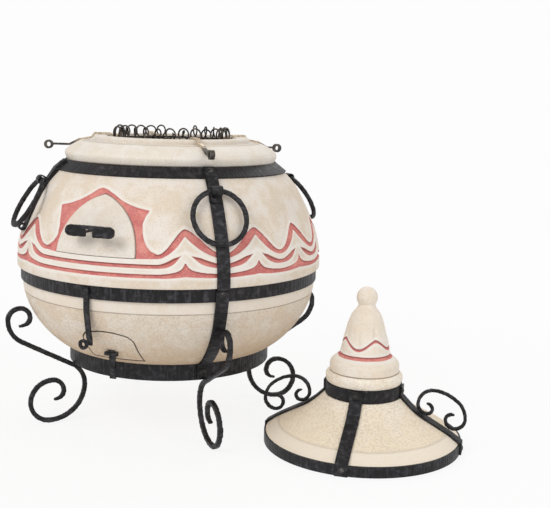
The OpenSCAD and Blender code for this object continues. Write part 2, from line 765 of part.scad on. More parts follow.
// Underside of a rod: from the hoop over the mouth ring, down the collar and out to its eye
rod_line = [
    [rack_r - 7, rod_inner_z],
    [mouth_r - 14, rod_inner_z],
    [mouth_r - 4, rod_z],
    [mouth_ring_r + 1, rod_z],
    [mouth_ring_r + 8, collar_top + 1],
    [(collar_r + mouth_ring_r) / 2 + 4, collar_top - 4.5],
    [collar_r - 4, rack_eye_z - 1]];
module rack_rod(az, eye_r) {
    eye = [eye_r, rack_eye_z];
    line = concat(rod_line, [eye - [rod_eye_r - 2, 1]]);
    color(steel) at_az(az) difference() {
        union() {
            radial_plate(band(line, rack_rod_t), rack_rod_w);
            cross_pin(eye, rod_eye_r, rack_rod_w + 2);
        }
        cross_pin(eye, rod_eye_r - rack_rod_t, rack_rod_w + 4);
    }
}
module rack_rod_front() { rack_rod(cage_az, rack_eye_r); }
module rack_rod_right() { rack_rod(cage_az + 90, rack_eye_r); }
module rack_rod_rear() { rack_rod(cage_az + 180, rack_eye_r); }
module rack_rod_left() { rack_rod(left_rod_az, left_eye_r); }

// The spring: one wire that curls round the hoop and stands up from it, closed onto
// it at both ends. Its ends lie at the rear, and each rod passes between two curls.
spring_from = 184;
spring_to = 536;
curl_rings = 10;
spring_n = round(curls * curl_rings * (spring_to - spring_from) / 360);
end_rings = 6;
end_r = (rack_hoop_d + curl_wire) / 2 + 0.4;
// The two legs of each curl stand this much further apart along the hoop
curl_skew = 3.5;
curl_z = rack_z + curl_r * cos(180 / curl_rings) - end_r;
function spring_az(i) = spring_from + (spring_to - spring_from) * i / spring_n;
function spring_phase(i) = 90 + curls * (spring_az(i) - cage_az);
function spring_share(i) = min(1, min(i, spring_n - i) / end_rings);
function spring_rad(i) = end_r + (curl_r - end_r) * spring_share(i);
function spring_half(i) = end_r + (curl_depth / 2 - end_r) * spring_share(i);
function spring_lean(i) = curl_skew * spring_share(i) * cos(spring_phase(i));
function spring_z(i) = rack_z + (curl_z - rack_z) * spring_share(i);
function out_dir(az) = [sin(az), -cos(az), 0];
function curl_dir(i) = let (p = spring_phase(i)) cos(p) * out_dir(spring_az(i)) + [0, 0, sin(p)];
function spring_pt(i) = let (p = spring_phase(i), leg_dir = out_dir(spring_az(i) + 90))
    (rack_r + spring_half(i) * cos(p)) * out_dir(spring_az(i)) - spring_lean(i) * leg_dir
    + [0, 0, spring_z(i) + spring_rad(i) * sin(p)];
spring_pts = [for (i = [0:spring_n]) spring_pt(i)];
wire_sides = 6;
function unit(v) = v / norm(v);
function wire_ring(i) = let (
    t = unit(spring_pts[min(i + 1, spring_n)] - spring_pts[max(i - 1, 0)]),
    u = unit(curl_dir(i) - (curl_dir(i) * t) * t),
    v = cross(t, u))
    [for (k = [0:wire_sides - 1]) let (a = 360 * k / wire_sides)
        spring_pts[i] + curl_wire / 2 * (cos(a) * u + sin(a) * v)];
spring_gap = min([for (i = [0:spring_n - 5]) for (j = [i + 5:min(i + 12, spring_n)])
    norm(spring_pts[i] - spring_pts[j])]) - curl_wire;
echo(least_gap_of_spring_to_itself_mm = spring_gap);

module rack_spring() {
    rings = [for (i = [0:spring_n]) wire_ring(i)];
    verts = [for (r = rings) for (p = r) p];
    s = wire_sides;
    sides = [for (i = [0:spring_n - 1]) for (k = [0:s - 1]) let (
        a = i * s + k,
        b = i * s + (k + 1) % s)
        each [[a, a + s, b], [b, a + s, b + s]]];
    first = [for (k = [1:s - 2]) [0, k, k + 1]];
    e = spring_n * s;
    last = [for (k = [1:s - 2]) [e, e + k + 1, e + k]];
    color(steel) polyhedron(verts, concat(sides, first, last));
}

// ---- Lid, standing on the floor ----

module at_lid() {
    translate([lid_x, lid_y, 0]) children();
}

lid_clay_r = lid_r - base_hoop_t - seat_gap;
lid_foot = 1;
// Flared side from the rim up to the neck: share of the way in, share of the rise
lid_curve = [[0, 0], [0.175, 0.19], [0.4, 0.37], [0.67, 0.58], [0.83, 0.76], [1, 1]];
lid_out = [for (k = lid_curve) [
    lid_clay_r - (lid_clay_r - lid_neck_r - 6) * k[0],
    lid_rim_h + (lid_neck_z - 1 - lid_rim_h) * k[1]]];
lid_wall = 28;
lid_neck_hoop_w = 30;

module lid_dome() {
    neck_top = lid_neck_z + lid_neck_hoop_w + 1;
    color(sand) at_lid() turned(concat(
        [[lid_clay_r - lid_wall, lid_foot], [lid_clay_r, lid_foot]],
        lid_out,
        [[lid_neck_r, lid_neck_z - 1], [lid_neck_r, neck_top], [lid_neck_r + 2, neck_top],
            [lid_neck_r + 5, neck_top + 12], [lid_neck_r + 2, lid_seam_z],
            [lid_hole_r, lid_seam_z], [lid_hole_r, lid_neck_z]],
        [for (i = [4:-1:1]) lid_out[i] - [lid_wall * 0.7, lid_wall * 0.75]]));
}

// Cap: a swelling cone with a ball on top and a spigot that drops into the smoke hole
cap_foot_r = lid_neck_r + 2;
module lid_cap() {
    h = ball_z - lid_seam_z - ball_r;
    cap_curve = [[0, 0], [0.05, -0.02], [0.14, 0.1], [0.29, 0.33], [0.4, 0.41], [0.41, 0.43],
        [0.58, 0.52], [0.7, 0.59], [0.87, 0.73], [1, 0.86]];
    neck = sqrt(max(1, ball_r * ball_r - 19 * 19));
    color(clay) at_lid() {
        turned(concat(
            [[0, lid_seam_z + seat_gap]],
            [for (k = cap_curve) [
                cap_foot_r - (cap_foot_r - 10) * k[1],
                lid_seam_z + seat_gap + h * k[0]]],
            [[19, ball_z - neck], [0, ball_z]]));
        translate([0, 0, ball_z]) sphere(r = ball_r);
        translate([0, 0, lid_seam_z - 22]) cylinder(r = lid_hole_r - 1, h = 30);
    }
}

module lid_rim_hoop() {
    color(iron) at_lid() difference() {
        cylinder(r = lid_r, h = lid_rim_h);
        translate([0, 0, -1]) cylinder(r = lid_r - base_hoop_t, h = lid_rim_h + 2);
        for (k = [0:3]) at_az(lid_az + 90 * k) rim_rivet_shank(rivet_gap);
    }
}

lid_neck_out = lid_neck_r + seat_gap + hoop_t - 1;
module lid_neck_hoop() {
    color(iron) at_lid() difference() {
        translate([0, 0, lid_neck_z]) cylinder(r = lid_neck_out, h = lid_neck_hoop_w);
        translate([0, 0, lid_neck_z - 1]) cylinder(r = lid_neck_r + seat_gap, h = lid_neck_hoop_w + 2);
        for (k = [0:3]) at_az(lid_az + 90 * k) neck_rivet_shank(rivet_gap);
    }
}

// Straps down the flared side, over both hoops
lid_strap_line = concat(
    [[lid_neck_out + 0.05, lid_neck_z + lid_neck_hoop_w - 2], [lid_neck_out + 0.05, lid_neck_z + 2]],
    [for (i = [4:-1:1]) lid_out[i] + [seat_gap, seat_gap]],
    [[lid_r + 0.05, lid_rim_h + 0.4], [lid_r + 0.05, 0]]);
module lid_strap(k) {
    color(iron) at_lid() at_az(lid_az + 90 * k) difference() {
        radial_plate(band(lid_strap_line, strap_t), strap_w);
        rim_rivet_shank(rivet_gap);
        neck_rivet_shank(rivet_gap);
    }
}
module lid_strap_front() { lid_strap(0); }
module lid_strap_right() { lid_strap(1); }
module lid_strap_rear() { lid_strap(2); }
module lid_strap_left() { lid_strap(3); }

rim_mid_z = lid_rim_h / 2;
neck_mid_z = lid_neck_z + lid_neck_hoop_w / 2;
module rim_rivet_shank(g) { radial_pin([lid_r - base_hoop_t - 2, rim_mid_z], [1, 0], rivet_r + g, 30); }
module neck_rivet_shank(g) { radial_pin([lid_neck_r - 2, neck_mid_z], [1, 0], rivet_r + g, 30); }
module lid_rim_rivets() {
    color(steel) at_lid() for (k = [0:3]) at_az(lid_az + 90 * k)
        rivet([lid_r - base_hoop_t, rim_mid_z], [1, 0], base_hoop_t + strap_t + 0.1);
}
module lid_neck_rivets() {
    color(steel) at_lid() for (k = [0:3]) at_az(lid_az + 90 * k)
        rivet([lid_neck_r + seat_gap, neck_mid_z], [1, 0], hoop_t - 1 + strap_t + 0.1);
}

// Scroll handle that stands on a side strap and curls in at both ends
scroll_start = lid_out[3] + [12.5, 31];
scroll_route = concat([[scroll_start, 0]], route(scroll_start, 0, [
    [0, 2], [-90, 13], [-90, 12], [-90, 22], [-90, 36], [-35, 80], [0, 8.5], [-55, 52],
    [-90, 25.5], [-90, 20], [-90, 14], [-40, 10]]));
module lid_scroll(k) {
    color(iron) at_lid() at_az(lid_az + 90 * k)
        radial_plate(bar_outline(scroll_route, scroll_bar), scroll_bar);
}
module lid_scroll_right() { lid_scroll(1); }
module lid_scroll_left() { lid_scroll(3); }

lower_bowl();
upper_belly();
neck_collar();
mouth_ring();
fire_grate();
base_hoop();
waist_hoop();
shoulder_hoop();
strap_front();
strap_rear();
hanger_right();
hanger_left();
clip_front();
clip_right();
clip_rear();
clip_left();
leg_front();
leg_right();
leg_rear();
leg_left();
shoulder_rivets();
waist_rivets();
base_rivets();
ring_front();
ring_right();
ring_rear();
ring_left();
arch_door();
door_grip();
vent_plug();
plug_tab();
vent_latch();
latch_rivet();
rack_hoop();
rack_spring();
rack_rod_front();
rack_rod_right();
rack_rod_rear();
rack_rod_left();
lid_dome();
lid_cap();
lid_rim_hoop();
lid_neck_hoop();
lid_strap_front();
lid_strap_right();
lid_strap_rear();
lid_strap_left();
lid_scroll_right();
lid_scroll_left();
lid_rim_rivets();
lid_neck_rivets();
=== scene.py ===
import math

import bmesh
import bpy
import numpy as np
from mathutils import Matrix, Vector, noise


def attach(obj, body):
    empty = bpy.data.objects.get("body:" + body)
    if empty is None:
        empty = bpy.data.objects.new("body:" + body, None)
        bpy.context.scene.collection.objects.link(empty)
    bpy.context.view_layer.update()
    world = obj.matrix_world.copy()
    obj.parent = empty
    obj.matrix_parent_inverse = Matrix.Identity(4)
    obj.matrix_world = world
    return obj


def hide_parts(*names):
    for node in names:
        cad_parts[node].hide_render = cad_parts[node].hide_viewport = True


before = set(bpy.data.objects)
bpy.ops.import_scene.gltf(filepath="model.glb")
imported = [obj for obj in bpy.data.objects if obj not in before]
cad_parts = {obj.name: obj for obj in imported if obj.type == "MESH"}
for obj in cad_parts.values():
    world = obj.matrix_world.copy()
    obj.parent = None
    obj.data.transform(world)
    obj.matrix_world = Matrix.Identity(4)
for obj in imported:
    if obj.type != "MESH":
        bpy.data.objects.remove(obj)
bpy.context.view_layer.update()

MM = 0.001

# ---- Sizes shared with the solids, in millimetres and degrees ----
# Azimuth is counted from the front, -Y, towards the right, +X.

WAIST_R, SEAM_Z = 365, 375
BORDER_Z, BORDER_TOP_Z = 390.8, 408
BELLY_R, SHOULDER_R, SHOULDER_Z = 378, 284, 624.5
WALL = 46
FOOT_R, FOOT_Z, BASE_TOP_Z, WAIST_LOW_Z = 252, 153, 188, 359.2
HEARTH_Z, HEARTH_T, GRATE_R = 312, 24, 152
MOUTH_R, MOUTH_RING_R, MOUTH_RING_H = 160, 193, 11
COLLAR_R, COLLAR_Z, COLLAR_H = 262, 651, 45
NECK_R, NECK_Z = 256.5, 646
DOOR_AZ, DOOR_W, DOOR_H, DOOR_Z, DOOR_GAP = -21.5, 202, 133, 456, 1.6
VENT_AZ, VENT_W, VENT_Z, VENT_H, VENT_RISE = -19, 132, 203, 66, 14
CAGE_AZ = 24
# Millimetres round the belly for one degree, as an average over its height
MM_PER_DEG = 6.3
RACK_R, RACK_Z, CURL_R, CURL_HALF, CURL_Z, CURLS = 135, 700, 18, 9, 712.2, 28
COIL_FROM, COIL_TO, COIL_END_R, WIRE_R = 184, 536, 4.9, 2
LID_X, LID_Y, LID_R, LID_RIM_H = 484.6, -207, 230, 25
LID_NECK_R, LID_NECK_Z, LID_SEAM_Z, LID_HOLE_R = 86, 121, 177, 50
BALL_R, BALL_Z = 25, 353

BELLY_CURVE = [(0, 0), (0.13, 0.02), (0.25, 0.075), (0.37, 0.155), (0.5, 0.28), (0.65, 0.44),
               (0.78, 0.6), (0.89, 0.77), (1, 1)]
LID_CURVE = [(0, 0), (0.175, 0.19), (0.4, 0.37), (0.67, 0.58), (0.83, 0.76), (1, 1)]
CAP_CURVE = [(0, 0.1), (0.03, 0.08), (0.13, 0.085), (0.19, 0.17), (0.24, 0.29), (0.29, 0.36), (0.41, 0.415),
             (0.52, 0.46), (0.63, 0.52), (0.77, 0.59), (0.9, 0.69), (0.97, 0.79), (1, 0.84)]


def rounded(points, per=6):
    """Smooth curve through the points of an outline."""
    p = np.array(points, float)
    ends = np.vstack([2 * p[0] - p[1], p, 2 * p[-1] - p[-2]])
    t = np.linspace(0, 1, per, endpoint=False)[:, None]
    out = []
    for i in range(1, len(ends) - 2):
        a, b, c, d = ends[i - 1:i + 3]
        out.append(0.5 * (2 * b + (c - a) * t + (2 * a - 5 * b + 4 * c - d) * t ** 2
                          + (3 * b - a - 3 * c + d) * t ** 3))
    return np.vstack(out + [p[-1:]])


belly_points = [(BELLY_R - (BELLY_R - SHOULDER_R) * k, BORDER_TOP_Z + (SHOULDER_Z - BORDER_TOP_Z) * h)
                for h, k in BELLY_CURVE]
belly_line = rounded(belly_points, 12)
bowl_share = [1 - (1 - i / 10) ** 1.5 for i in range(11)]
bowl_line = np.array([(FOOT_R + (WAIST_R + 1 - FOOT_R) * (1 - u ** 1.9) ** 0.78,
                       WAIST_LOW_Z - (WAIST_LOW_Z - BASE_TOP_Z) * u) for u in bowl_share])[::-1]
bowl_line = rounded(bowl_line, 8)


def belly_radius(z):
    return np.interp(z, belly_line[:, 1], belly_line[:, 0])


def bowl_radius(z):
    return np.interp(z, bowl_line[:, 1], bowl_line[:, 0])


def resampled(line, step):
    """The same line with a point every step millimetres."""
    line = np.array(line, float)
    run = np.concatenate([[0], np.cumsum(np.hypot(*np.diff(line, axis=0).T))])
    n = max(2, int(round(run[-1] / step)) + 1)
    s = np.linspace(0, run[-1], n)
    return np.stack([np.interp(s, run, line[:, k]) for k in range(2)], axis=1)


def smooth_step(x):
    x = np.clip(x, 0, 1)
    return x * x * (3 - 2 * x)


def out_dir(az):
    return Vector((math.sin(math.radians(az)), -math.cos(math.radians(az)), 0))


def ripple(az, z, seed, size, amount):
    """Slow hand-made unevenness: a few waves that close round the body."""
    waves = np.random.default_rng(seed)
    total = 0
    for _ in range(7):
        turns = waves.integers(2, 9)
        total = total + np.sin(np.radians(az * turns) + waves.uniform(0, 6.28)
                               + z / (size * waves.uniform(0.6, 1.6)))
    return total * amount / 7


# ---- Building meshes ----

def make(name, verts, faces):
    mesh = bpy.data.meshes.new(name)
    mesh.from_pydata(np.asarray(verts, float).tolist(), [], [list(f) for f in faces])
    piece = bpy.data.objects.new(name, mesh)
    bpy.context.scene.collection.objects.link(piece)
    return piece


def tidy(piece, crease=40):
    """Joins doubled points, turns the faces outwards and shades them smooth."""
    work = bmesh.new()
    work.from_mesh(piece.data)
    bmesh.ops.remove_doubles(work, verts=work.verts, dist=0.00002)
    bmesh.ops.recalc_face_normals(work, faces=work.faces)
    work.to_mesh(piece.data)
    work.free()
    piece.data.polygons.foreach_set("use_smooth", [True] * len(piece.data.polygons))
    piece.data.set_sharp_from_angle(angle=math.radians(crease))
    return piece


def turned(name, outline, steps, centre=(0, 0), carve=None):
    """Body turned about an upright axis; carve gives each point's move outwards."""
    line = np.array(outline, float)
    az = np.arange(steps) * 360 / steps
    high = np.repeat(line[None, :, 1], steps, axis=0)
    rad = np.repeat(line[None, :, 0], steps, axis=0)
    if carve is not None:
        rad = rad + carve(np.repeat(az[:, None], len(line), axis=1), high, rad)
    turn = np.radians(az)[:, None]
    verts = np.stack([centre[0] + rad * np.sin(turn), centre[1] - rad * np.cos(turn), high], axis=2)
    n = len(line)
    closed = line[0, 0] > 1 or line[-1, 0] > 1
    i, j = np.meshgrid(np.arange(steps), np.arange(n if closed else n - 1), indexing="ij")
    i2, j2 = (i + 1) % steps, (j + 1) % n
    faces = np.stack([i * n + j, i2 * n + j, i2 * n + j2, i * n + j2], axis=2).reshape(-1, 4)
    return tidy(make(name, verts.reshape(-1, 3) * MM, faces))


def block(name, radius, depth, az_range, z_range, step=2.5):
    """Curved block of clay between the body's skin and a depth inside it."""
    az = np.linspace(*az_range, int((az_range[1] - az_range[0]) * MM_PER_DEG / step) + 1)
    high = np.linspace(*z_range, int((z_range[1] - z_range[0]) / step) + 1)
    a, z = np.meshgrid(az, high, indexing="ij")
    turn = np.radians(a)
    skins = []
    for inwards in (0, depth):
        rad = radius(z) - inwards
        skins.append(np.stack([rad * np.sin(turn), -rad * np.cos(turn), z], axis=2).reshape(-1, 3))
    m, n = a.shape
    k = m * n
    idx = np.arange(k).reshape(m, n)
    front = np.stack([idx[:-1, :-1], idx[1:, :-1], idx[1:, 1:], idx[:-1, 1:]], axis=2).reshape(-1, 4)
    faces = [*front.tolist(), *(front[:, ::-1] + k).tolist()]
    rim = [*idx[:, 0], *idx[-1, 1:], *idx[-2::-1, -1], *idx[0, -2:0:-1]]
    for p, q in zip(rim, rim[1:] + rim[:1]):
        faces.append([int(q), int(p), int(p) + k, int(q) + k])
    return tidy(make(name, np.vstack(skins) * MM, faces))


def prism(outline, az, near, far):
    """Straight bar of the given outline [across, height], from near to far of the axis."""
    out = out_dir(az)
    side = Vector((-out.y, out.x, 0))
    verts = [(side * x + out * d + Vector((0, 0, z))) * MM for d in (near, far) for x, z in outline]
    n = len(outline)
    faces = [list(range(n)), list(range(2 * n - 1, n - 1, -1))]
    faces += [[i, (i + 1) % n, n + (i + 1) % n, n + i] for i in range(n)]
    return tidy(make("cutter", [tuple(v) for v in verts], faces))


def settle(piece):
    """Fixes the modifiers into the mesh."""
    ready = piece.evaluated_get(bpy.context.evaluated_depsgraph_get())
    mesh = bpy.data.meshes.new_from_object(ready)
    piece.modifiers.clear()
    piece.data = mesh
    return tidy(piece)


def carved(piece, tool, how):
    """Cuts the piece by the tool, or keeps what lies inside the tool."""
    modifier = piece.modifiers.new("cut", "BOOLEAN")
    modifier.operation = how
    modifier.object = tool
    modifier.solver = "EXACT"
    settle(piece)
    bpy.data.objects.remove(tool)
    return piece


def tube(name, path, radius, sides):
    """Round wire along an open path."""
    pts = np.array(path, float)
    n = len(pts)
    run = np.vstack([pts[1:], pts[-1:]]) - np.vstack([pts[:1], pts[:-1]])
    run /= np.linalg.norm(run, axis=1)[:, None]
    # the first ring starts from any direction that isn't the wire's own
    side = np.cross(run[0], (0.31, 0.2, 0.93))
    turn = np.arange(sides) * 2 * np.pi / sides
    rings = []
    for t, p in zip(run, pts):
        side = side - t * side.dot(t)
        side /= np.linalg.norm(side)
        other = np.cross(t, side)
        rings.append(p + radius * (np.cos(turn)[:, None] * side + np.sin(turn)[:, None] * other))
    faces = []
    for i in range(n - 1):
        for k in range(sides):
            a, b = i * sides + k, i * sides + (k + 1) % sides
            faces.append([a, b, b + sides, a + sides])
    faces += [list(range(sides - 1, -1, -1)), list(range((n - 1) * sides, n * sides))]
    return tidy(make(name, np.vstack(rings) * MM, faces))


def marked(piece, name, values):
    layer = piece.data.attributes.new(name, "FLOAT", "POINT")
    layer.data.foreach_set("value", np.asarray(values, np.float32))


def places(piece, centre=(0, 0)):
    """Azimuth, height and radius of each point of a piece, in degrees and millimetres."""
    p = np.empty(len(piece.data.vertices) * 3)
    piece.data.vertices.foreach_get("co", p)
    p = p.reshape(-1, 3) / MM - (centre[0], centre[1], 0)
    return np.degrees(np.arctan2(p[:, 0], -p[:, 1])), p[:, 2], np.hypot(p[:, 0], p[:, 1])


# ---- The relief on the belly ----

# Peaks between the swags; the wide swag between the first two runs level under the door
PEAKS = [-56, 11, 38, 59, 83, 107, 131, 155, 179, 203, 228, 252, 278, 304]
LEVEL_RUN = (-43, 1.5)
# Heights of the bands midway between two peaks, and how far each one rises to a peak
FIELD_Z, RIB_Z, GROOVE_Z, FOOT_LINE_Z, STRIP_Z = 466, 458, 441, 423.5, 416
FIELD_RISE, RIB_RISE, GROOVE_RISE, FOOT_RISE, FOOT_TIP, STRIP_RISE = 54, 48, 32, 12, 15, 3.5
GROOVE_HALF = 3.6
CARVE_DEPTH, LIP_RISE, FOLD_DEPTH = 3.2, 0.8, 2.2
# Stands for a point that is far from every groove
FAR = 50.0

# Painted border round the door: straight sides with horned corners, and a pointed top
DOOR_BORDER = [(-41.7, 556), (-36.5, 563), (-32, 573), (-28, 586), (-25.5, 597), (-23.4, 600),
               (-21, 597), (-17, 587), (-13.5, 576), (-10, 568), (-6, 561.5), (-2, 557),
               (-3.4, 545), (-4.2, 529), (-3.9, 510), (-3.1, 494), (-2.1, 482), (-0.8, 473), (1.5, 466.5),
               (1.5, 458), (-4.4, 457), (-37, 457), (-41, 458), (-43, 464), (-42.2, 467), (-39.6, 477),
               (-38.2, 492), (-38.8, 513), (-40.1, 534)]


def swag_share(az):
    """0 in the middle of a swag and 1 at the peak beside it."""
    a = (np.asarray(az) - PEAKS[0]) % 360 + PEAKS[0]
    share = np.zeros_like(a, dtype=float)
    for k, (left, right) in enumerate(zip(PEAKS, PEAKS[1:])):
        low, high = LEVEL_RUN if k == 0 else ((left + right) / 2,) * 2
        here = (a >= left) & (a < right)
        rise = np.where(a < low, (low - a) / (low - left),
                        np.where(a > high, (a - high) / (right - high), 0))
        share = np.where(here, rise, share)
    return share


def swag_rise(share):
    return 0.85 * smooth_step(share ** 1.05) + 0.15 * share ** 2


def from_outline(x, y, outline):
    """Distance from a closed outline, less than zero inside it."""
    pts = np.array(outline, float)
    least = np.full(x.shape, 1e9)
    inside = np.zeros(x.shape, bool)
    for (x0, y0), (x1, y1) in zip(pts, np.roll(pts, -1, 0)):
        dx, dy = x1 - x0, y1 - y0
        t = np.clip(((x - x0) * dx + (y - y0) * dy) / (dx * dx + dy * dy), 0, 1)
        least = np.minimum(least, np.hypot(x - x0 - t * dx, y - y0 - t * dy))
        if dy:
            inside ^= ((y0 > y) != (y1 > y)) & (x < dx * (y - y0) / dy + x0)
    return np.where(inside, -least, least)


def relief(az, z):
    """Distance to the nearest painted groove (below zero in it), depth under its upper lip, and
    the height of the field's lower edge."""
    share = swag_share(az)
    slope = np.hypot(1, 1.1 * np.sin(np.pi * share))
    field = FIELD_Z + FIELD_RISE * swag_rise(share)
    rib = RIB_Z + RIB_RISE * share ** 1.8
    a = (np.asarray(az) - PEAKS[0]) % 360 + PEAKS[0]
    # the door's border takes the place of the upper band there
    by_door = (a > -41) & (a < 0.5)
    band = np.where(by_door, FAR, np.maximum(z - field, rib - z) / slope)
    # the middle groove tapers off before it reaches a peak
    groove = GROOVE_Z + GROOVE_RISE * share ** 1.9
    half = GROOVE_HALF * np.clip((0.84 - share) / 0.22, -1, 1)
    line = np.abs(z - groove) / slope - half
    foot = FOOT_LINE_Z + FOOT_RISE * share ** 2 + FOOT_TIP * share ** 12
    base = np.maximum(z - foot, STRIP_Z + STRIP_RISE * share ** 2 - z)
    near = (a > -50) & (a < 10) & (z > 440) & (z < 620)
    border = np.full(np.shape(z), FAR)
    outline = [(x * MM_PER_DEG, y) for x, y in DOOR_BORDER]
    border[near] = from_outline(a[near] * MM_PER_DEG, z[near], outline)
    groove_gap = np.minimum(np.minimum(band, line), np.minimum(base, border))
    lip = np.where(band < 1, field - z, np.where(line < 1, groove + half - z,
                                                 np.where(base < 1, foot - z, 9)))
    return groove_gap, lip, field


def belly_carving(az, z, rad):
    """How far the hand-carved skin lies outside (+) or inside (-) the plain belly."""
    skin = (rad > belly_radius(z) - 3) & (z > BORDER_TOP_Z - 6) & (z < SHOULDER_Z - 2)
    gap, _, field = relief(az, z)
    move = -CARVE_DEPTH * smooth_step((0.9 - gap) / 2.6)
    move += LIP_RISE * np.clip(1 - np.abs(gap - 3) / 6, 0, 1) ** 2
    # shallow valleys run up from the peaks, as in clay that has been draped
    share = swag_share(az)
    above = z - field
    fold = np.exp(-((1 - share) * 12 / 4) ** 2) * smooth_step(above / 14) * smooth_step((70 - above) / 60)
    move -= FOLD_DEPTH * fold
    move += ripple(az, z, 3, 70, 1.1) * smooth_step((SHOULDER_Z - z) / 30)
    return np.where(skin, move, 0)


# ---- Materials ----

def tint(code):
    """sRGB hex code to the linear colour that the shader wants."""
    parts = [int(code[i:i + 2], 16) / 255 for i in (1, 3, 5)]
    return [c / 12.92 if c <= 0.04045 else ((c + 0.055) / 1.055) ** 2.4 for c in parts] + [1]


def add(tree, kind, links=(), **settings):
    """Adds a node; a setting named in1, in2 ... sets that input, and links feed inputs."""
    node = tree.nodes.new("ShaderNode" + kind)
    for key, value in settings.items():
        if key.startswith("in") and key[2:].isdigit():
            node.inputs[int(key[2:])].default_value = value
        else:
            setattr(node, key, value)
    for slot, source in dict(links).items():
        tree.links.new(source, node.inputs[slot])
    return node


# Index of refraction of clay's silicates; the oil film on the iron is close to it
REFRACTION = 1.5


def finish(name, build, roughness, metallic=0.0):
    """New material; build adds its nodes and returns its colour, roughness and bump."""
    material = bpy.data.materials.new(name)
    material.use_nodes = True
    tree = material.node_tree
    shader = tree.nodes["Principled BSDF"]
    shader.inputs["Roughness"].default_value = roughness
    shader.inputs["Metallic"].default_value = metallic
    shader.inputs["IOR"].default_value = REFRACTION
    for socket, source in build(tree).items():
        tree.links.new(source, shader.inputs[socket])
    return material


def blended(tree, share, first, second):
    """Mixes two colours, each a hex code or a socket, by a share."""
    node = add(tree, "Mix", data_type="RGBA")
    for slot, value in ((0, share), (6, first), (7, second)):
        if isinstance(value, str):
            node.inputs[slot].default_value = tint(value)
        elif isinstance(value, (int, float)):
            node.inputs[slot].default_value = value
        else:
            tree.links.new(value, node.inputs[slot])
    return node.outputs[2]


def figured(tree, operation, first, second=None, third=None):
    """One Math node: each value is a number or a socket."""
    node = add(tree, "Math", operation=operation)
    for slot, value in enumerate((first, second, third)):
        if isinstance(value, (int, float)):
            node.inputs[slot].default_value = value
        elif value is not None:
            tree.links.new(value, node.inputs[slot])
    return node.outputs[0]


def eased(tree, value, low, high, out_low=0.0, out_high=1.0):
    """Soft step from out_low to out_high as the value goes from low to high."""
    node = add(tree, "MapRange", interpolation_type="SMOOTHSTEP", links={0: value},
               in1=low, in2=high, in3=out_low, in4=out_high)
    return node.outputs[0]


def mottle(tree, spot, size, detail, rough):
    """Cloudy noise from 0 to 1; size is about the width of a cloud, in the units of spot."""
    return add(tree, "TexNoise", links={0: spot}, in2=1 / size, in3=detail, in4=rough).outputs[0]


def surface(tree, colour, rough, height, strength, reach=MM):
    """What a material's build returns: its colour, its roughness and a bump from the height."""
    bump = add(tree, "Bump", links={"Height": height}, in0=strength, in1=reach)
    return {"Base Color": colour, "Normal": bump.outputs[0], "Roughness": rough}


def round_places(tree, centre):
    """Position in millimetres, turn about the upright axis in radians, and height."""
    spot = add(tree, "TexCoord").outputs["Object"]
    moved = add(tree, "VectorMath", operation="MULTIPLY_ADD", links={0: spot},
                in1=(1000, 1000, 1000), in2=(-centre[0], -centre[1], 0)).outputs[0]
    parts = add(tree, "SeparateXYZ", links={0: moved}).outputs
    turn = figured(tree, "ARCTAN2", parts[0], figured(tree, "MULTIPLY", parts[1], -1))
    return moved, turn, parts[2]


